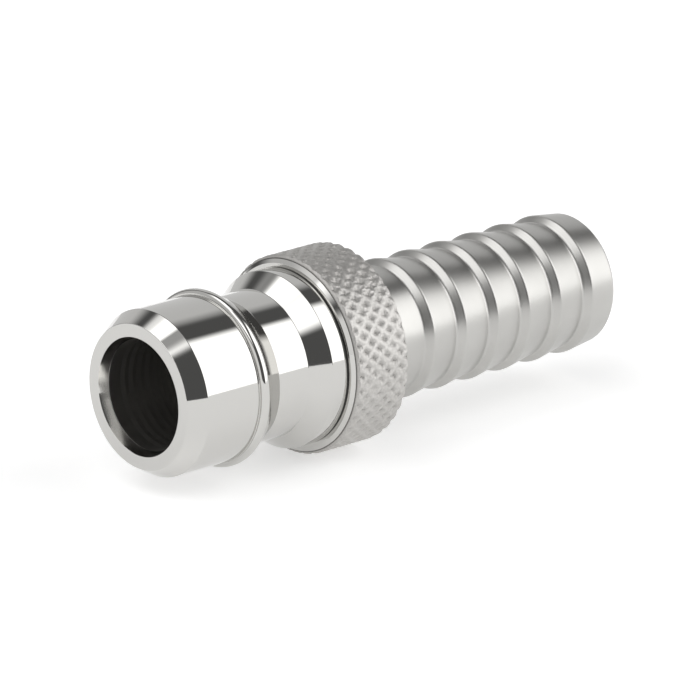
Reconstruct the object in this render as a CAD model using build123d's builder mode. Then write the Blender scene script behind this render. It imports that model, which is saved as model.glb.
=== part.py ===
"""Swivel hose plug of a ball-lock quick coupling, in millimetres.

The X axis is the axis of the flow bore: the nose points to -X and the hose tail to +X. The origin is
the middle of the nose's cylindrical sealing land. +Z is up.

The plug body and the knurled union nut screw together. The hose tail's flange is held between them
by two acetal thrust washers, so that the tail, and the hose on it, can turn in the plug.
"""
import os
from build123d import *

os.makedirs("parts", exist_ok=True)

# Driving dimensions. Every length is along X and every radius is measured from the X axis.
nose_radius = 8.5
nose_chamfer_length = 1.85
nose_chamfer_depth = 1.1
land_length = 6.65
bead_radius = 9.05
bead_length = 1.1
neck_radius = 7.56
front_cone_length = 2.34
neck_length = 3.86
rear_cone_length = 1.9
shoulder_radius = 9.05
shoulder_length = 1.8
seam_width = 0.15
seam_ring_inset = 0.06
edge_break = 0.12

bore_radius = 5.65
bore_lead_in_depth = 0.4
bore_lead_in_length = 1.1
spigot_bore_depth = 11.0
tail_bore_radius = 4.3

nut_length = 7.1
nut_radius = 10.25
nut_front_radius = 9.45
nut_front_chamfer_length = 0.65
nut_back_chamfer = 0.1
nut_web_thickness = 1.8
nut_hole_radius = 7.3

thread_radius = 9.15
thread_pitch = 0.75
thread_depth = 0.4
thread_turns = 4
thread_clearance = 0.04
thread_relief = 0.45

running_clearance = 0.05
seal_clearance = 0.03
end_gap = 0.4
skirt_gap = 0.1
spigot_radius = 6.25
flange_radius = 7.9
flange_length = 4.2
spigot_lead_in_depth = 0.3
spigot_lead_in_length = 0.5
washer_thickness = 1.0
o_ring_section = 1.15
o_ring_groove_width = 1.55
guide_band_width = 2.0
guide_band_thickness = 0.75
wiper_width = 0.9
wiper_height = 0.7

barb_count = 6
barb_pitch = 4.37
barb_radius = 7.22
barb_root_radius = 6.55
barb_nose_radius = 0.3
barb_front_length = 0.75
shank_length = 6.25
tail_end_length = 3.58
tail_end_radius = 6.8
tail_bore_chamfer = 0.4

# Stations along the axis, from the nose face backwards.
nose_face = -(nose_chamfer_length + land_length / 2)
land_start = nose_face + nose_chamfer_length
land_end = land_start + land_length
bead_end = land_end + bead_length
neck_start = bead_end + front_cone_length
neck_end = neck_start + neck_length
cone_end = neck_end + rear_cone_length
shoulder_end = cone_end + shoulder_length
nut_front = shoulder_end + seam_width
nut_back = nut_front + nut_length
nut_web_front = nut_back - nut_web_thickness

# The swivel stack, front to back: counterbore floor, washer, flange, washer, nut web.
spigot_bore_start = nose_face + spigot_bore_depth
rear_washer_front = nut_web_front - washer_thickness
flange_back = rear_washer_front - seal_clearance
flange_front = flange_back - flange_length
front_washer_back = flange_front - seal_clearance
counterbore_floor = front_washer_back - washer_thickness
spigot_front = spigot_bore_start + end_gap
skirt_end = rear_washer_front - skirt_gap

spigot_bore_radius = spigot_radius + running_clearance
counterbore_radius = flange_radius + running_clearance
groove_floor_radius = spigot_radius - o_ring_section
thread_root_radius = thread_radius - thread_depth
thread_start = nut_front + thread_relief
seam_ring_inner_radius = thread_root_radius - 0.25
seam_ring_outer_radius = shoulder_radius - seam_ring_inset

first_barb = nut_back + shank_length
last_barb = first_barb + (barb_count - 1) * barb_pitch
tail_end = last_barb + tail_end_length

# The spigot's O-ring grooves, the flange's guide band groove and the web's wiper groove, by their
# front walls.
o_ring_groove_starts = [spigot_front + 1.2, spigot_front + 4.1]
guide_band_start = (flange_front + flange_back - guide_band_width) / 2
guide_band_inner_radius = counterbore_radius - guide_band_thickness
wiper_start = nut_web_front + (nut_web_thickness - wiper_width) / 2
wiper_outer_radius = nut_hole_radius + wiper_height


def turn(outline):
    """Revolve a closed outline of (x, radius) points about the X axis."""
    with BuildSketch(Plane.XZ) as section:
        with BuildLine():
            Polyline(*outline, close=True)
        make_face()
    revolve(section.sketch, axis=Axis.X)


def thread_outline(crest_radius, root_radius):
    """The zigzag of a screw thread's flanks, one crest for each turn."""
    points = []
    for turn_number in range(thread_turns):
        root = thread_start + turn_number * thread_pitch
        points.append((root, root_radius))
        points.append((root + thread_pitch / 2, crest_radius))
    points.append((thread_start + thread_turns * thread_pitch, root_radius))
    return points


# Plug body: the polished nose, sealing land, retaining bead, locking neck and shoulder, turned from
# one bar. The locking neck has a sloping wall at both ends. The skirt behind the shoulder is threaded
# outside and holds the tail's flange inside.
with BuildPart() as plug_body:
    turn(
        [
            (nose_face, bore_radius + bore_lead_in_depth),
            (nose_face, nose_radius - nose_chamfer_depth),
            (land_start, nose_radius),
            (land_end, nose_radius),
            (bead_end, nose_radius),
            (neck_start, neck_radius),
            (neck_end, neck_radius),
            (cone_end, shoulder_radius),
            (shoulder_end - edge_break, shoulder_radius),
            (shoulder_end, shoulder_radius - edge_break),
            (shoulder_end, seam_ring_inner_radius),
            (thread_start - edge_break, seam_ring_inner_radius),
            *thread_outline(thread_radius, thread_root_radius),
            (skirt_end, thread_root_radius),
            (skirt_end, counterbore_radius),
            (counterbore_floor, counterbore_radius),
            (counterbore_floor, spigot_bore_radius),
            (spigot_bore_start, spigot_bore_radius),
            (spigot_bore_start, bore_radius),
            (nose_face + bore_lead_in_length, bore_radius),
        ]
    )
    # The retaining bead is a half-round rib at the rear end of the land.
    with BuildSketch(Plane.XZ) as bead_section:
        with BuildLine():
            ThreePointArc(
                (land_end, nose_radius),
                ((land_end + bead_end) / 2, bead_radius),
                (bead_end, nose_radius),
            )
            Polyline(
                (bead_end, nose_radius),
                (bead_end, neck_radius),
                (land_end, neck_radius),
                (land_end, nose_radius),
            )
        make_face()
    revolve(bead_section.sketch, axis=Axis.X)
plug_body.part.label = "plug_body"
export_step(plug_body.part, "parts/plug_body.step")

# Knurled union nut: the hand grip. It screws onto the skirt, and its rear web holds the flange in.
# The hole in the web is wide enough to pass over the barbs.
with BuildPart() as knurled_nut:
    turn(
        [
            (nut_front, thread_root_radius + thread_clearance),
            (nut_front, nut_front_radius),
            (nut_front + nut_front_chamfer_length, nut_radius),
            (nut_back - nut_back_chamfer, nut_radius),
            (nut_back, nut_radius - nut_back_chamfer),
            (nut_back, nut_hole_radius),
            (wiper_start + wiper_width, nut_hole_radius),
            (wiper_start + wiper_width, wiper_outer_radius),
            (wiper_start, wiper_outer_radius),
            (wiper_start, nut_hole_radius),
            (nut_web_front, nut_hole_radius),
            (nut_web_front, thread_radius + thread_clearance),
            *reversed(
                thread_outline(
                    thread_radius + thread_clearance,
                    thread_root_radius + thread_clearance,
                )
            ),
        ]
    )
knurled_nut.part.label = "knurled_nut"
export_step(knurled_nut.part, "parts/knurled_nut.step")

# Seam ring: a thin rubber ring nipped between the shoulder and the nut. It keeps dirt out of the
# thread and stops the nut from shaking loose.
with BuildPart() as seam_ring:
    turn(
        [
            (shoulder_end, seam_ring_inner_radius),
            (shoulder_end, seam_ring_outer_radius),
            (nut_front, seam_ring_outer_radius),
            (nut_front, seam_ring_inner_radius),
        ]
    )
seam_ring.part.label = "seam_ring"
export_step(seam_ring.part, "parts/seam_ring.step")

# Hose tail: spigot, flange, shank and barbed stem in one turned piece.
with BuildPart() as hose_tail:
    barb_outline = []
    for barb in range(barb_count):
        crest = first_barb + barb * barb_pitch
        barb_outline.append((crest - barb_front_length, barb_root_radius))
        barb_outline.append((crest, barb_radius))
    turn(
        [
            (spigot_front, tail_bore_radius + tail_bore_chamfer),
            (spigot_front, spigot_radius - spigot_lead_in_depth),
            (spigot_front + spigot_lead_in_length, spigot_radius),
            (flange_front, spigot_radius),
            (flange_front, flange_radius),
            (flange_back, flange_radius),
            (flange_back, barb_root_radius),
            *barb_outline,
            (tail_end - edge_break, tail_end_radius),
            (tail_end, tail_end_radius - edge_break),
            (tail_end, tail_bore_radius + tail_bore_chamfer),
            (tail_end - tail_bore_chamfer, tail_bore_radius),
            (spigot_front + tail_bore_chamfer, tail_bore_radius),
        ]
    )
    crests = hose_tail.edges().filter_by(GeomType.CIRCLE).filter_by(
        lambda edge: abs(edge.radius - barb_radius) < 0.01
    )
    fillet(crests, barb_nose_radius)
    # Grooves for the two O-rings and for the guide band.
    with BuildSketch(Plane.XZ) as groove_section:
        for groove_start in o_ring_groove_starts:
            with Locations((groove_start, groove_floor_radius)):
                Rectangle(o_ring_groove_width, 2 * o_ring_section, align=(Align.MIN, Align.MIN))
        with Locations((guide_band_start, guide_band_inner_radius)):
            Rectangle(guide_band_width, 2 * guide_band_thickness, align=(Align.MIN, Align.MIN))
    revolve(groove_section.sketch, axis=Axis.X, mode=Mode.SUBTRACT)
hose_tail.part.label = "hose_tail"
export_step(hose_tail.part, "parts/hose_tail.step")

# Thrust washers: acetal rings on both sides of the flange. The front one stands in the body's
# counterbore, and the rear one in the nut, against its web.
with BuildPart() as front_thrust_washer:
    with BuildSketch(Plane.YZ.offset(counterbore_floor)):
        Circle(counterbore_radius - running_clearance)
        Circle(spigot_bore_radius, mode=Mode.SUBTRACT)
    extrude(amount=washer_thickness)
front_thrust_washer.part.label = "front_thrust_washer"
export_step(front_thrust_washer.part, "parts/front_thrust_washer.step")

with BuildPart() as rear_thrust_washer:
    with BuildSketch(Plane.YZ.offset(rear_washer_front)):
        Circle(thread_root_radius)
        Circle(barb_root_radius + running_clearance, mode=Mode.SUBTRACT)
    extrude(amount=washer_thickness)
rear_thrust_washer.part.label = "rear_thrust_washer"
export_step(rear_thrust_washer.part, "parts/rear_thrust_washer.step")

# O-rings: they turn with the spigot and seal against the body's bore. Each is drawn as squeezed in
# its groove, a round section that just clears the bore.
o_ring_radius = (o_ring_section + running_clearance - seal_clearance) / 2
for name, groove_start in zip(["front_o_ring", "rear_o_ring"], o_ring_groove_starts):
    cord_centre = (groove_start + o_ring_groove_width / 2, groove_floor_radius + o_ring_radius)
    with BuildPart() as o_ring:
        with BuildSketch(Plane.XZ) as cord_section:
            with Locations(cord_centre):
                Circle(o_ring_radius)
        revolve(cord_section.sketch, axis=Axis.X)
    o_ring.part.label = name
    export_step(o_ring.part, f"parts/{name}.step")

# Guide band: a PTFE strip in the flange's groove. It carries the side load of the hose.
with BuildPart() as guide_band:
    with BuildSketch(Plane.YZ.offset(guide_band_start)):
        Circle(counterbore_radius - seal_clearance)
        Circle(guide_band_inner_radius, mode=Mode.SUBTRACT)
    extrude(amount=guide_band_width)
guide_band.part.label = "guide_band"
export_step(guide_band.part, "parts/guide_band.step")

# Dust wiper: a soft rubber ring in the web's groove, which runs on the tail's shank.
with BuildPart() as dust_wiper:
    with BuildSketch(Plane.YZ.offset(wiper_start)):
        Circle(wiper_outer_radius)
        Circle(barb_root_radius + seal_clearance, mode=Mode.SUBTRACT)
    extrude(amount=wiper_width)
dust_wiper.part.label = "dust_wiper"
export_step(dust_wiper.part, "parts/dust_wiper.step")

print("overall length", round(tail_end - nose_face, 2))
print("nose face to the first barb", round(first_barb - nose_face, 2))
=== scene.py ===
import math
import bpy
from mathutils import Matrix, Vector, noise


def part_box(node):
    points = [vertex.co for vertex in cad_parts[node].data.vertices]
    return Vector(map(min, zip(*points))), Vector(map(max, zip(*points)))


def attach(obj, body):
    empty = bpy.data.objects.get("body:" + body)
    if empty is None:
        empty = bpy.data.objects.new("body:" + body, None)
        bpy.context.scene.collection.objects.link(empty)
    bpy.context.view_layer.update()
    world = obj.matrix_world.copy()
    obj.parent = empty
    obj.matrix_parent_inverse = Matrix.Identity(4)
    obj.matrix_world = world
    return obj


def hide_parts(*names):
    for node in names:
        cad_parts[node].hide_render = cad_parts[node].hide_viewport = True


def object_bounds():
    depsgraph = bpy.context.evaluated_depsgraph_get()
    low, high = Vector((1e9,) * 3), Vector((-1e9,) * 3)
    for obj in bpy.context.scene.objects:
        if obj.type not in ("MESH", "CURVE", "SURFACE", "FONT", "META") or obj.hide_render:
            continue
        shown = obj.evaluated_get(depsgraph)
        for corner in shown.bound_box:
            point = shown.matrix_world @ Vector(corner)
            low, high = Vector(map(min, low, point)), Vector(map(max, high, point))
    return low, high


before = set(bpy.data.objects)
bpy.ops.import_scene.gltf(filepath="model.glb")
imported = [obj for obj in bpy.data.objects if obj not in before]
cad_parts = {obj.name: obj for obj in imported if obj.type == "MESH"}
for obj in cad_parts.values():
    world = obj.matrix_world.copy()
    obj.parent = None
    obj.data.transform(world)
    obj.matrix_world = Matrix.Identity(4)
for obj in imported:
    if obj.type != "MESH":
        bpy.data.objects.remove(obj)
cad_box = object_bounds()

# Plug body: one piece of stainless steel bar, turned all over. The nose, its sealing land, the thin
# bead, the locking neck and the shoulder are polished bright, and the bore is left as it was bored.
# The skirt behind the shoulder is screwed into the knurled nut.
MM = 0.001
NOSE_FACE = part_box("plug_body")[0].x / MM
SKIRT_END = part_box("plug_body")[1].x / MM
NUT_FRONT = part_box("knurled_nut")[0].x / MM
NUT_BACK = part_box("knurled_nut")[1].x / MM
SPIGOT_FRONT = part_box("hose_tail")[0].x / MM
TAIL_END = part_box("hose_tail")[1].x / MM
WASHER_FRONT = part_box("front_thrust_washer")[0].x / MM

LAND_START = NOSE_FACE + 1.85
LAND_END = LAND_START + 6.65
BEAD_END = LAND_END + 1.1
NECK_START = BEAD_END + 2.34
NECK_END = NECK_START + 3.86
CONE_END = NECK_END + 1.9
SHOULDER_END = CONE_END + 1.8
THREAD_START = NUT_FRONT + 0.45
THREAD_PITCH = 0.75
THREAD_TURNS = 4
SPIGOT_BORE_START = NOSE_FACE + 11.0

BORE_RADIUS = 5.65
MOUTH_DEPTH = 0.4
MOUTH_LENGTH = 1.1
NOSE_CHAMFER_DEPTH = 1.1
BORE_RING_COUNT = 8
BORE_RING_PITCH = 1.05
BORE_RING_DEPTH = 0.07
NOSE_RADIUS = 8.5
BEAD_RADIUS = 9.05
NECK_RADIUS = 7.56
SHOULDER_RADIUS = 9.05
THREAD_ROOT_RADIUS = 8.75
THREAD_CREST_RADIUS = 9.15
RELIEF_RADIUS = 8.5
COUNTERBORE_RADIUS = 7.95
SPIGOT_BORE_RADIUS = 6.3


def rounded(outline):
    """Points and normals of a closed (x, radius, corner radius) outline with its corners rounded."""
    points = []
    for i, (x, r, corner) in enumerate(outline):
        before, after = outline[i - 1], outline[(i + 1) % len(outline)]
        way_in = (x - before[0], r - before[1])
        way_out = (after[0] - x, after[1] - r)
        length_in = math.hypot(*way_in)
        angle_in = math.atan2(way_in[1], way_in[0])
        angle_out = math.atan2(way_out[1], way_out[0])
        turn = (angle_out - angle_in + math.pi) % (2 * math.pi) - math.pi
        cut = corner * math.tan(abs(turn) / 2)
        start = (x - way_in[0] / length_in * cut, r - way_in[1] / length_in * cut)
        side = math.copysign(1, turn)
        centre = (
            start[0] - side * math.sin(angle_in) * corner,
            start[1] + side * math.cos(angle_in) * corner,
        )
        steps = max(2, round(abs(turn) / math.radians(12)))
        for step in range(steps + 1):
            heading = angle_in + turn * step / steps
            normal = (-math.sin(heading), math.cos(heading))
            points.append((
                centre[0] + side * math.sin(heading) * corner,
                centre[1] - side * math.cos(heading) * corner,
                *normal,
            ))
    return points


def turned(name, outline, segments=256):
    """A piece turned on the X axis, from a closed outline in millimetres that runs forwards outside."""
    profile = rounded(outline)
    vertices, normals, faces = [], [], []
    for x, r, normal_x, normal_r in profile:
        for k in range(segments):
            angle = 2 * math.pi * k / segments
            vertices.append((x * MM, r * MM * math.cos(angle), r * MM * math.sin(angle)))
            normals.append((normal_x, normal_r * math.cos(angle), normal_r * math.sin(angle)))
    rings = len(profile)
    for i in range(rings):
        for k in range(segments):
            a, b = i * segments, (i + 1) % rings * segments
            here, beside = k, (k + 1) % segments
            faces.append((a + here, a + beside, b + beside, b + here))
    mesh = bpy.data.meshes.new(name)
    mesh.from_pydata(vertices, [], faces)
    mesh.shade_smooth()
    mesh.normals_split_custom_set_from_vertices(normals)
    piece = bpy.data.objects.new(name, mesh)
    bpy.context.scene.collection.objects.link(piece)
    return piece


def ridges(crest, root):
    """The crests and roots of the nut's thread, one of each for every turn."""
    points = []
    for turn_number in range(THREAD_TURNS):
        start = THREAD_START + turn_number * THREAD_PITCH
        points.append((start, root, 0.03))
        points.append((start + THREAD_PITCH / 2, crest, 0.03))
    points.append((THREAD_START + THREAD_TURNS * THREAD_PITCH, root, 0.03))
    return points


# The boring bar left a row of shallow rings in the bore.
bore_rings = []
for ring in range(BORE_RING_COUNT):
    x = SPIGOT_BORE_START - (ring + 1) * BORE_RING_PITCH
    bore_rings.append((x + BORE_RING_PITCH / 2, BORE_RADIUS, 0.02))
    bore_rings.append((x, BORE_RADIUS + BORE_RING_DEPTH, 0.02))
plug = turned("polished_plug_body", [
    (NOSE_FACE, BORE_RADIUS + MOUTH_DEPTH, 0.05),
    (NOSE_FACE, NOSE_RADIUS - NOSE_CHAMFER_DEPTH, 0.1),
    (LAND_START, NOSE_RADIUS, 0.15),
    (LAND_END, NOSE_RADIUS, 0.06),
    (LAND_END, BEAD_RADIUS, 0.5),
    (BEAD_END, BEAD_RADIUS, 0.5),
    (BEAD_END, NOSE_RADIUS, 0.08),
    (NECK_START, NECK_RADIUS, 0.3),
    (NECK_END, NECK_RADIUS, 0.15),
    (CONE_END, SHOULDER_RADIUS, 0.15),
    (SHOULDER_END, SHOULDER_RADIUS, 0.08),
    (SHOULDER_END, RELIEF_RADIUS, 0.03),
    (THREAD_START - 0.1, RELIEF_RADIUS, 0.03),
    *ridges(THREAD_CREST_RADIUS, THREAD_ROOT_RADIUS),
    (SKIRT_END, THREAD_ROOT_RADIUS, 0.05),
    (SKIRT_END, COUNTERBORE_RADIUS, 0.05),
    (WASHER_FRONT, COUNTERBORE_RADIUS, 0.02),
    (WASHER_FRONT, SPIGOT_BORE_RADIUS, 0.05),
    (SPIGOT_BORE_START, SPIGOT_BORE_RADIUS, 0.05),
    (SPIGOT_BORE_START, BORE_RADIUS, 0.05),
    *bore_rings,
    (NOSE_FACE + MOUTH_LENGTH, BORE_RADIUS, 0.08),
])


def linear(hex_colour):
    """The linear RGBA of an sRGB hex colour."""
    channels = [int(hex_colour[i:i + 2], 16) / 255 for i in (1, 3, 5)]
    return (*[c / 12.92 if c <= 0.04045 else ((c + 0.055) / 1.055) ** 2.4 for c in channels], 1)


def add_node(tree, kind, inputs=(), **settings):
    """Adds a node with its settings, and sets or links its inputs."""
    node = tree.nodes.new(kind)
    for setting, value in settings.items():
        setattr(node, setting, value)
    for socket, value in dict(inputs).items():
        if isinstance(value, bpy.types.NodeSocket):
            tree.links.new(value, node.inputs[socket])
        else:
            node.inputs[socket].default_value = value
    return node


def new_material(name):
    """A new material with an empty node tree."""
    material = bpy.data.materials.new(name)
    material.use_nodes = True
    material.node_tree.nodes.clear()
    return material, material.node_tree


# Polished stainless steel: turned, then buffed on a mop. The eye gets hard reflections with only a
# trace of the turning rings, which are 0.08 mm apart. The mop doesn't reach inside, so the reamed mouth
# is a little softer and the bore is dull. The bore's darker base colour is painted shade.
polished_steel, tree = new_material("polished_stainless_steel")
place = add_node(tree, "ShaderNodeTexCoord").outputs["Object"]
split = add_node(tree, "ShaderNodeSeparateXYZ", {0: place})
across = add_node(tree, "ShaderNodeCombineXYZ", {1: split.outputs["Y"], 2: split.outputs["Z"]})
radius = add_node(tree, "ShaderNodeVectorMath", {0: across.outputs[0]}, operation="LENGTH")
inside = add_node(tree, "ShaderNodeMapRange", {
    "Value": radius.outputs["Value"],
    "From Min": (BORE_RADIUS + 0.25) * MM, "From Max": (BORE_RADIUS + 0.1) * MM})
behind = add_node(tree, "ShaderNodeMapRange", {
    "Value": split.outputs["X"],
    "From Min": (NOSE_FACE + MOUTH_LENGTH - 0.15) * MM, "From Max": (NOSE_FACE + MOUTH_LENGTH + 0.05) * MM})
in_bore = add_node(tree, "ShaderNodeMath", {
    0: inside.outputs[0], 1: behind.outputs[0]}, operation="MULTIPLY").outputs[0]
rings = add_node(tree, "ShaderNodeCombineXYZ", {0: split.outputs["X"]}).outputs[0]
ring_noise = add_node(tree, "ShaderNodeTexNoise", {
    "Vector": rings, "Scale": 1 / (0.08 * MM), "Detail": 2.0})
smudges = add_node(tree, "ShaderNodeTexNoise", {"Vector": place, "Scale": 1 / (6 * MM), "Detail": 3.0})
polish = add_node(tree, "ShaderNodeMapRange", {
    "Value": smudges.outputs[0], "From Min": 0.3, "From Max": 0.7, "To Min": 0.035, "To Max": 0.07})
in_mouth = add_node(tree, "ShaderNodeMapRange", {
    "Value": radius.outputs["Value"],
    "From Min": (BORE_RADIUS + MOUTH_DEPTH - 0.03) * MM, "From Max": (BORE_RADIUS + MOUTH_DEPTH - 0.09) * MM})
reamed = add_node(tree, "ShaderNodeMix", {0: in_mouth.outputs[0], 2: polish.outputs[0], 3: 0.12})
roughness = add_node(tree, "ShaderNodeMix", {0: in_bore, 2: reamed.outputs[0], 3: 0.42})
# Painted shade: the bore gets a darker base colour than the polished outside.
colour = add_node(tree, "ShaderNodeMix", {
    0: in_bore, 6: linear("#C6C5C2"), 7: linear("#8E8C89")}, data_type="RGBA")
bump = add_node(tree, "ShaderNodeBump", {
    "Height": ring_noise.outputs[0], "Strength": 0.02, "Distance": 0.004 * MM})
steel = add_node(tree, "ShaderNodeBsdfPrincipled", {
    "Base Color": colour.outputs[2],
    "Metallic": 1.0, "Roughness": roughness.outputs[0], "Normal": bump.outputs[0]})
add_node(tree, "ShaderNodeOutputMaterial", {"Surface": steel.outputs[0]})
plug.data.materials.append(polished_steel)
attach(plug, "plug")
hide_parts("plug_body")


# Seam ring: a thin black nitrile ring nipped between the plug's shoulder and the nut. It shows only
# as a dark line, so the frame's own ring stays and gets its rubber.
seal_rubber, tree = new_material("moulded_nitrile_rubber")
place = add_node(tree, "ShaderNodeTexCoord").outputs["Object"]
bloom = add_node(tree, "ShaderNodeTexNoise", {"Vector": place, "Scale": 1 / (0.8 * MM), "Detail": 4.0})
colour = add_node(tree, "ShaderNodeMix", {
    0: bloom.outputs[0], 6: linear("#2A2A29"), 7: linear("#3C3C3B")}, data_type="RGBA")
bump = add_node(tree, "ShaderNodeBump", {
    "Height": bloom.outputs[0], "Strength": 0.3, "Distance": 0.02 * MM})
rubber = add_node(tree, "ShaderNodeBsdfPrincipled", {
    "Base Color": colour.outputs[2], "Roughness": 0.6, "IOR": 1.52, "Normal": bump.outputs[0]})
add_node(tree, "ShaderNodeOutputMaterial", {"Surface": rubber.outputs[0]})
for name in ("seam_ring", "dust_wiper", "front_o_ring", "rear_o_ring"):
    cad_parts[name].material_slots[0].material = seal_rubber


# Knurled nut: the hand grip, turned from stainless steel and rolled between two knurling wheels that
# leave crossed ridges with a pit in each diamond. The pits run out on the smooth cone of its front. It
# screws on the plug body.
NUT_RADIUS = 10.25
NUT_FRONT_RADIUS = 9.45
NUT_CONE_LENGTH = 0.65
NUT_BACK_CHAMFER = 0.12
NUT_THREAD_CLEARANCE = 0.04
NUT_HOLE_RADIUS = 7.3
WIPER_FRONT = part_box("dust_wiper")[0].x / MM
WIPER_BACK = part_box("dust_wiper")[1].x / MM
WIPER_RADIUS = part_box("dust_wiper")[1].z / MM
WEB_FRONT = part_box("rear_thrust_washer")[1].x / MM
KNURL_COLUMNS = 40
KNURL_PITCH = 1.74
KNURL_DEPTH = 0.37
KNURL_CREST = NUT_RADIUS - 0.02
KNURL_RIM = KNURL_CREST - KNURL_DEPTH - 0.03
NUT_CONE_SLOPE = (KNURL_CREST - NUT_FRONT_RADIUS) / NUT_CONE_LENGTH
KNURL_START = NUT_FRONT + (KNURL_RIM - NUT_FRONT_RADIUS) / NUT_CONE_SLOPE
KNURL_END = NUT_BACK - 0.02
KNURL_STEPS_ROUND = 22
KNURL_STEPS_ALONG = 84
KNURL_EDGE_STEPS = 5
RIDGE_EDGE = 0.2
RIDGE_HOLLOW = 0.025
FLANK_DEPTH = 0.15
PIT_EDGE = 0.5
WEAR_SIZE = 0.3
WEAR_DEPTH = 0.07
PRESSURE_SIZE = 2.6
PRESSURE_CHANGE = 0.5


def knurl_radius(x, angle):
    """The nut's radius in the knurl: ridges along both helices, and between them flanks with a pit.

    Each ridge is slightly hollow along its middle. The wheels' pressure varies slowly over the nut, and
    burrs and wear make small dents.
    """
    along = (x - NUT_FRONT) / KNURL_PITCH
    around = angle * KNURL_COLUMNS / (2 * math.pi)
    into_pit = min(2 * abs(helix - round(helix)) for helix in (around + along, around - along))
    place = Vector((x, NUT_RADIUS * math.cos(angle), NUT_RADIUS * math.sin(angle)))
    pressure = 1 + PRESSURE_CHANGE * noise.noise(place / PRESSURE_SIZE)
    wear = WEAR_DEPTH * (1 + noise.noise(place / WEAR_SIZE)) / 2
    hollow = RIDGE_HOLLOW * max(0, 1 - into_pit / RIDGE_EDGE) ** 2
    flank = FLANK_DEPTH * into_pit
    pit = (KNURL_DEPTH - FLANK_DEPTH - WEAR_DEPTH) * max(0, (into_pit - PIT_EDGE) / (1 - PIT_EDGE))
    knurl = KNURL_CREST - wear - hollow - min(1, pressure) * (flank + pit)
    cone = KNURL_RIM + (x - KNURL_START) * NUT_CONE_SLOPE
    chamfer = KNURL_RIM + (KNURL_END - x) * (KNURL_CREST - KNURL_RIM) / NUT_BACK_CHAMFER
    return min(knurl, cone, chamfer)


def knurled_band():
    """Vertices and faces of the knurl's height field, wrapped round the nut."""
    cone_end = NUT_FRONT + NUT_CONE_LENGTH
    chamfer_start = KNURL_END - NUT_BACK_CHAMFER
    rows = []
    for low, high, steps in (
        (KNURL_START, cone_end, KNURL_EDGE_STEPS),
        (cone_end, chamfer_start, KNURL_STEPS_ALONG),
        (chamfer_start, KNURL_END, KNURL_EDGE_STEPS),
    ):
        rows += [low + (high - low) * step / steps for step in range(steps)]
    rows.append(KNURL_END)
    around = KNURL_COLUMNS * KNURL_STEPS_ROUND
    vertices, faces = [], []
    for x in rows:
        for k in range(around):
            angle = 2 * math.pi * k / around
            r = knurl_radius(x, angle)
            vertices.append((x * MM, r * MM * math.cos(angle), r * MM * math.sin(angle)))
    for j in range(len(rows) - 1):
        for k in range(around):
            beside = (k + 1) % around
            here, behind_it = j * around, (j + 1) * around
            faces.append((here + k, here + beside, behind_it + beside, behind_it + k))
    return vertices, faces


vertices, faces = knurled_band()
band_mesh = bpy.data.meshes.new("nut_knurl")
band_mesh.from_pydata(vertices, [], faces)
band_mesh.shade_smooth()
knurl = bpy.data.objects.new("nut_knurl", band_mesh)
bpy.context.scene.collection.objects.link(knurl)

nut = turned("nut_body", [
    (NUT_FRONT, THREAD_ROOT_RADIUS + NUT_THREAD_CLEARANCE, 0.03),
    (NUT_FRONT, NUT_FRONT_RADIUS, 0.08),
    (KNURL_START, KNURL_RIM, 0.005),
    (KNURL_START + 0.1, KNURL_RIM - 0.1, 0.02),
    (KNURL_END - 0.1, KNURL_RIM - 0.1, 0.02),
    (KNURL_END, KNURL_RIM, 0.005),
    (NUT_BACK, KNURL_RIM - 0.05, 0.01),
    (NUT_BACK, NUT_HOLE_RADIUS, 0.08),
    (WIPER_BACK, NUT_HOLE_RADIUS, 0.03),
    (WIPER_BACK, WIPER_RADIUS, 0.03),
    (WIPER_FRONT, WIPER_RADIUS, 0.03),
    (WIPER_FRONT, NUT_HOLE_RADIUS, 0.03),
    (WEB_FRONT, NUT_HOLE_RADIUS, 0.03),
    (WEB_FRONT, THREAD_CREST_RADIUS + NUT_THREAD_CLEARANCE, 0.03),
    *reversed(ridges(
        THREAD_CREST_RADIUS + NUT_THREAD_CLEARANCE, THREAD_ROOT_RADIUS + NUT_THREAD_CLEARANCE)),
])

# Rolled stainless steel: the wheels squeeze the metal cold, so the ridges are burnished and the pits
# stay dull. The colour is painted darker in the pits as painted shade and lighter on the ridges as a
# painted highlight. The eye gets soft bright crossing lines over light grey cells with a dark dot in each.
rolled_steel, tree = new_material("rolled_stainless_steel")
place = add_node(tree, "ShaderNodeTexCoord").outputs["Object"]
split = add_node(tree, "ShaderNodeSeparateXYZ", {0: place})
across = add_node(tree, "ShaderNodeCombineXYZ", {1: split.outputs["Y"], 2: split.outputs["Z"]})
radius = add_node(tree, "ShaderNodeVectorMath", {0: across.outputs[0]}, operation="LENGTH")
height = add_node(tree, "ShaderNodeMapRange", {
    "Value": radius.outputs["Value"],
    "From Min": (KNURL_CREST - KNURL_DEPTH) * MM, "From Max": KNURL_CREST * MM})
grain = add_node(tree, "ShaderNodeTexNoise", {"Vector": place, "Scale": 1 / (0.22 * MM), "Detail": 4.0})
flank_colour = add_node(tree, "ShaderNodeMix", {
    0: grain.outputs[0], 6: linear("#AAA8A5"), 7: linear("#C9C7C4")}, data_type="RGBA")
# Painted shade: the colour darkens towards the bottom of each knurl pit.
pit_shade_fade = add_node(tree, "ShaderNodeMapRange", {"Value": height.outputs[0], "From Max": 0.3})
shaded = add_node(tree, "ShaderNodeMix", {
    0: pit_shade_fade.outputs[0], 6: linear("#555451"), 7: flank_colour.outputs[2]}, data_type="RGBA")
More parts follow.
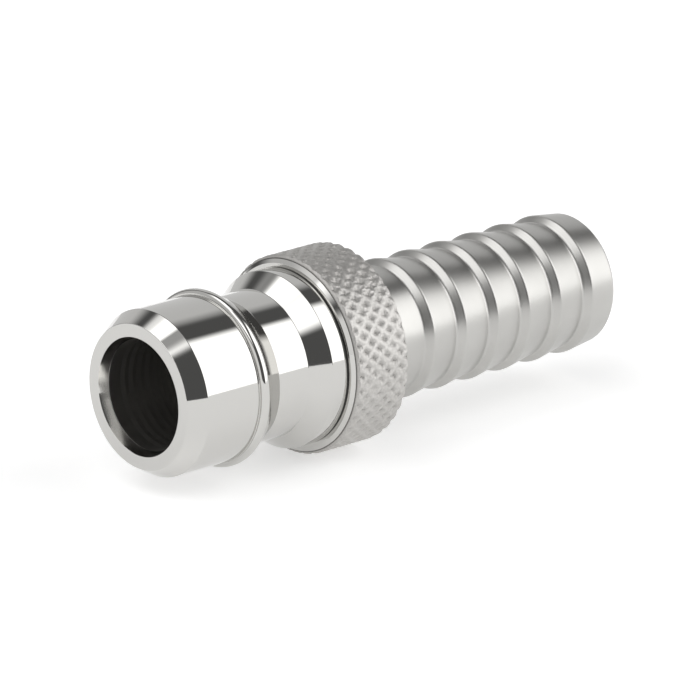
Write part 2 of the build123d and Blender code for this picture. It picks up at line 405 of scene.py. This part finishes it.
# Painted highlight: the colour lightens on the knurl's ridge crests.
ridge_highlight_fade = add_node(tree, "ShaderNodeMapRange", {"Value": height.outputs[0], "From Min": 0.8})
colour = add_node(tree, "ShaderNodeMix", {
    0: ridge_highlight_fade.outputs[0], 6: shaded.outputs[2], 7: linear("#CFCDCA")}, data_type="RGBA")
roughness = add_node(tree, "ShaderNodeMapRange", {
    "Value": height.outputs[0], "To Min": 0.6, "To Max": 0.46})
bump = add_node(tree, "ShaderNodeBump", {
    "Height": grain.outputs[0], "Strength": 1.0, "Distance": 0.06 * MM})
steel = add_node(tree, "ShaderNodeBsdfPrincipled", {
    "Base Color": colour.outputs[2], "Metallic": 1.0, "Roughness": roughness.outputs[0],
    "Normal": bump.outputs[0]})
add_node(tree, "ShaderNodeOutputMaterial", {"Surface": steel.outputs[0]})
knurl.data.materials.append(rolled_steel)
nut.data.materials.append(polished_steel)
for piece in (knurl, nut):
    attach(piece, "plug")
    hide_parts("knurled_nut")


# Hose tail: turned from stainless steel bar with a form tool, and left as it comes off the lathe. Six
# sawtooth barbs grip the hose. In front of them are the plain shank, the flange that the nut holds,
# and the spigot with its two O-ring grooves.
BARB_COUNT = 6
BARB_PITCH = 4.37
BARB_RADIUS = 7.22
BARB_ROOT_RADIUS = 6.55
FIRST_BARB = NUT_BACK + 6.25
BARB_FRONT_LENGTH = 0.75
TAIL_BORE_RADIUS = 4.3
SPIGOT_RADIUS = 6.25
FLANGE_RADIUS = 7.9
FLANGE_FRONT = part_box("front_thrust_washer")[1].x / MM + 0.03
FLANGE_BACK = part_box("rear_thrust_washer")[0].x / MM - 0.03
GROOVE_WIDTH = 1.55
GROOVE_FLOOR_RADIUS = 5.1
BAND_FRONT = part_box("guide_band")[0].x / MM
BAND_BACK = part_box("guide_band")[1].x / MM
BAND_GROOVE_RADIUS = 7.2


def groove(front, back, outer, floor):
    """A square groove in a turned outline."""
    return [(front, outer, 0.05), (front, floor, 0.05), (back, floor, 0.05), (back, outer, 0.05)]


spigot = []
for ring in ("front_o_ring", "rear_o_ring"):
    low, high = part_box(ring)
    middle = (low.x + high.x) / 2 / MM
    front, rear = middle - GROOVE_WIDTH / 2, middle + GROOVE_WIDTH / 2
    spigot += groove(front, rear, SPIGOT_RADIUS, GROOVE_FLOOR_RADIUS)
barbs = []
for barb in range(BARB_COUNT):
    crest = FIRST_BARB + barb * BARB_PITCH
    barbs.append((crest - BARB_FRONT_LENGTH, BARB_ROOT_RADIUS, 0.5))
    barbs.append((crest, BARB_RADIUS, 0.4))
tail = turned("turned_hose_tail", [
    (SPIGOT_FRONT, TAIL_BORE_RADIUS + 0.3, 0.05),
    (SPIGOT_FRONT, SPIGOT_RADIUS - 0.3, 0.05),
    (SPIGOT_FRONT + 0.5, SPIGOT_RADIUS, 0.05),
    *spigot,
    (FLANGE_FRONT, SPIGOT_RADIUS, 0.1),
    (FLANGE_FRONT, FLANGE_RADIUS, 0.1),
    *groove(BAND_FRONT, BAND_BACK, FLANGE_RADIUS, BAND_GROOVE_RADIUS),
    (FLANGE_BACK, FLANGE_RADIUS, 0.1),
    (FLANGE_BACK, BARB_ROOT_RADIUS, 0.1),
    *barbs,
    (TAIL_END - 0.4, 6.8, 0.15),
    (TAIL_END, 6.5, 0.1),
    (TAIL_END, TAIL_BORE_RADIUS + 0.4, 0.1),
    (TAIL_END - 0.4, TAIL_BORE_RADIUS, 0.1),
    (SPIGOT_FRONT + 0.3, TAIL_BORE_RADIUS, 0.1),
])

# Turned stainless steel: fine feed marks run round it, 0.12 mm apart, so that reflections smear
# along the axis. The eye gets soft grey bands with a silky sheen.
turned_steel, tree = new_material("turned_stainless_steel")
place = add_node(tree, "ShaderNodeTexCoord").outputs["Object"]
split = add_node(tree, "ShaderNodeSeparateXYZ", {0: place})
rings = add_node(tree, "ShaderNodeCombineXYZ", {0: split.outputs["X"]}).outputs[0]
feed = add_node(tree, "ShaderNodeTexNoise", {"Vector": rings, "Scale": 1 / (0.12 * MM), "Detail": 3.0})
stain = add_node(tree, "ShaderNodeTexNoise", {"Vector": place, "Scale": 1 / (3 * MM), "Detail": 4.0})
colour = add_node(tree, "ShaderNodeMix", {
    0: stain.outputs[0], 6: linear("#B6B5B2"), 7: linear("#C0BFBC")}, data_type="RGBA")
roughness = add_node(tree, "ShaderNodeMapRange", {
    "Value": feed.outputs[0], "From Min": 0.3, "From Max": 0.7, "To Min": 0.31, "To Max": 0.37})
bump = add_node(tree, "ShaderNodeBump", {
    "Height": feed.outputs[0], "Strength": 0.15, "Distance": 0.01 * MM})
tangent = add_node(tree, "ShaderNodeTangent", direction_type="RADIAL", axis="X")
steel = add_node(tree, "ShaderNodeBsdfPrincipled", {
    "Base Color": colour.outputs[2], "Metallic": 1.0, "Roughness": roughness.outputs[0],
    "Anisotropic": 0.4, "Anisotropic Rotation": 0.25,
    "Normal": bump.outputs[0], "Tangent": tangent.outputs[0]})
add_node(tree, "ShaderNodeOutputMaterial", {"Surface": steel.outputs[0]})
tail.data.materials.append(turned_steel)
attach(tail, "tail")
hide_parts("hose_tail")


# Thrust washers: parted off a rod of natural acetal, they carry the hose's pull. They sit inside, so
# the frame's own rings stay.
acetal, tree = new_material("turned_natural_acetal")
place = add_node(tree, "ShaderNodeTexCoord").outputs["Object"]
tint = add_node(tree, "ShaderNodeTexNoise", {"Vector": place, "Scale": 1 / (2 * MM), "Detail": 2.0})
colour = add_node(tree, "ShaderNodeMix", {
    0: tint.outputs[0], 6: linear("#E9E6DC"), 7: linear("#F1EFE8")}, data_type="RGBA")
plastic = add_node(tree, "ShaderNodeBsdfPrincipled", {
    "Base Color": colour.outputs[2], "Roughness": 0.4, "IOR": 1.48})
add_node(tree, "ShaderNodeOutputMaterial", {"Surface": plastic.outputs[0]})
for name in ("front_thrust_washer", "rear_thrust_washer"):
    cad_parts[name].material_slots[0].material = acetal


# Guide band: a strip of bronze-filled PTFE, cut to length and sprung into the flange's groove.
filled_ptfe, tree = new_material("skived_bronze_filled_ptfe")
place = add_node(tree, "ShaderNodeTexCoord").outputs["Object"]
filler = add_node(tree, "ShaderNodeTexNoise", {"Vector": place, "Scale": 1 / (0.1 * MM), "Detail": 2.0})
colour = add_node(tree, "ShaderNodeMix", {
    0: filler.outputs[0], 6: linear("#5A4A36"), 7: linear("#7C6648")}, data_type="RGBA")
plastic = add_node(tree, "ShaderNodeBsdfPrincipled", {
    "Base Color": colour.outputs[2], "Roughness": 0.5, "IOR": 1.38})
add_node(tree, "ShaderNodeOutputMaterial", {"Surface": plastic.outputs[0]})
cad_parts["guide_band"].material_slots[0].material = filled_ptfe


# Floor: a plain sheet of opal acrylic, lit evenly from below, which the nut's lowest ridge touches.
FLOOR_RADIUS = 3.0
FLOOR_GLOW = 0.45
bpy.ops.mesh.primitive_circle_add(vertices=96, radius=FLOOR_RADIUS, fill_type="NGON")
floor = bpy.context.object
floor.name = "floor"
floor.location.z = cad_box[0].z
opal, tree = new_material("cast_opal_acrylic")
place = add_node(tree, "ShaderNodeTexCoord").outputs["Object"]
cloud = add_node(tree, "ShaderNodeTexNoise", {"Vector": place, "Scale": 1 / (30 * MM), "Detail": 2.0})
colour = add_node(tree, "ShaderNodeMix", {
    0: cloud.outputs[0], 6: linear("#E6E6E6"), 7: linear("#E8E8E8")}, data_type="RGBA")
matt = add_node(tree, "ShaderNodeBsdfDiffuse", {"Color": colour.outputs[2]})
glow = add_node(tree, "ShaderNodeEmission", {"Strength": FLOOR_GLOW})
both = add_node(tree, "ShaderNodeAddShader", {0: matt.outputs[0], 1: glow.outputs[0]})
add_node(tree, "ShaderNodeOutputMaterial", {"Surface": both.outputs[0]})
floor.data.materials.append(opal)


# Studio light: a dim tent with soft boxes on it. Each box is a window of the sky, by its azimuth from
# the front towards the tail and its height above the horizon, in degrees, and fades over a soft edge.
# The camera sees a plain white backdrop instead of the tent.
SOFT_BOXES = [
    # left, right, bottom, top, edge, brightness
    (12, 75, -8, 56, 14, 2.6),
    (76, 97, -12, 26, 8, 0.7),
    (108, 174, -10, 47, 10, 0.8),
    (-106, -43, 39, 66, 13, 2.6),
    (-160, -106, 46, 84, 20, 2.6),
    (-178, -152, 54, 88, 12, 1.5),
    (-106, -10, 66, 88, 12, 0.5),
    (-104, -56, -8, 28, 10, 1.2),
    (-172, -100, -10, 44, 14, 0.7),
]
TENT_BRIGHTNESS = 0.14
BACKDROP_BRIGHTNESS = 1.0
world = bpy.data.worlds.new("studio")
bpy.context.scene.world = world
world.use_nodes = True
tree = world.node_tree
tree.nodes.clear()
towards = add_node(tree, "ShaderNodeTexCoord").outputs["Generated"]
split = add_node(tree, "ShaderNodeSeparateXYZ", {0: towards})
forwards = add_node(tree, "ShaderNodeMath", {0: split.outputs["Y"], 1: -1.0}, operation="MULTIPLY")
azimuth = add_node(tree, "ShaderNodeMath", {
    0: split.outputs["X"], 1: forwards.outputs[0]}, operation="ARCTAN2")
height = add_node(tree, "ShaderNodeMath", {0: split.outputs["Z"]}, operation="ARCSINE")
brightness = TENT_BRIGHTNESS
for left, right, bottom, top, edge, strength in SOFT_BOXES:
    share = 1.0
    for angle, low, high in ((azimuth, left, right), (height, bottom, top)):
        for start, end in ((low - edge / 2, low + edge / 2), (high + edge / 2, high - edge / 2)):
            side = add_node(tree, "ShaderNodeMapRange", {
                "Value": angle.outputs[0],
                "From Min": math.radians(start), "From Max": math.radians(end),
            }, interpolation_type="SMOOTHSTEP")
            share = add_node(tree, "ShaderNodeMath", {
                0: side.outputs[0], 1: share}, operation="MULTIPLY").outputs[0]
    lit = add_node(tree, "ShaderNodeMath", {0: share, 1: strength}, operation="MULTIPLY")
    brightness = add_node(tree, "ShaderNodeMath", {
        0: lit.outputs[0], 1: brightness}, operation="ADD").outputs[0]
seen = add_node(tree, "ShaderNodeLightPath").outputs["Is Camera Ray"]
shown = add_node(tree, "ShaderNodeMix", {0: seen, 2: brightness, 3: BACKDROP_BRIGHTNESS})
tent = add_node(tree, "ShaderNodeBackground", {"Strength": shown.outputs[0]})
add_node(tree, "ShaderNodeOutputWorld", {"Surface": tent.outputs[0]})
bpy.context.scene.view_settings.view_transform = "Standard"


# Camera: a long lens, level with the plug's length and turned to look past its nose.
CAMERA_AZIMUTH = math.radians(-42.04)
CAMERA_HEIGHT = math.radians(18.0)
CAMERA_DISTANCE = 92.35 * NOSE_RADIUS * MM
LENS = 411.4
AIM_ACROSS = 2.448
AIM_ABOVE = 0.545
back = Vector((
    math.sin(CAMERA_AZIMUTH) * math.cos(CAMERA_HEIGHT),
    -math.cos(CAMERA_AZIMUTH) * math.cos(CAMERA_HEIGHT),
    math.sin(CAMERA_HEIGHT),
))
right = Vector((math.cos(CAMERA_AZIMUTH), math.sin(CAMERA_AZIMUTH), 0))
up = back.cross(right)
aim = Vector((NOSE_FACE * MM, 0, 0)) + NOSE_RADIUS * MM * (AIM_ACROSS * right + AIM_ABOVE * up)
lens = bpy.data.cameras.new("camera")
lens.lens = LENS
lens.sensor_width = 36
lens.clip_start, lens.clip_end = 0.01, 20
camera = bpy.data.objects.new("camera", lens)
camera.location = aim + back * CAMERA_DISTANCE
camera.rotation_euler = back.to_track_quat("Z", "Y").to_euler()
bpy.context.scene.collection.objects.link(camera)
bpy.context.scene.camera = camera
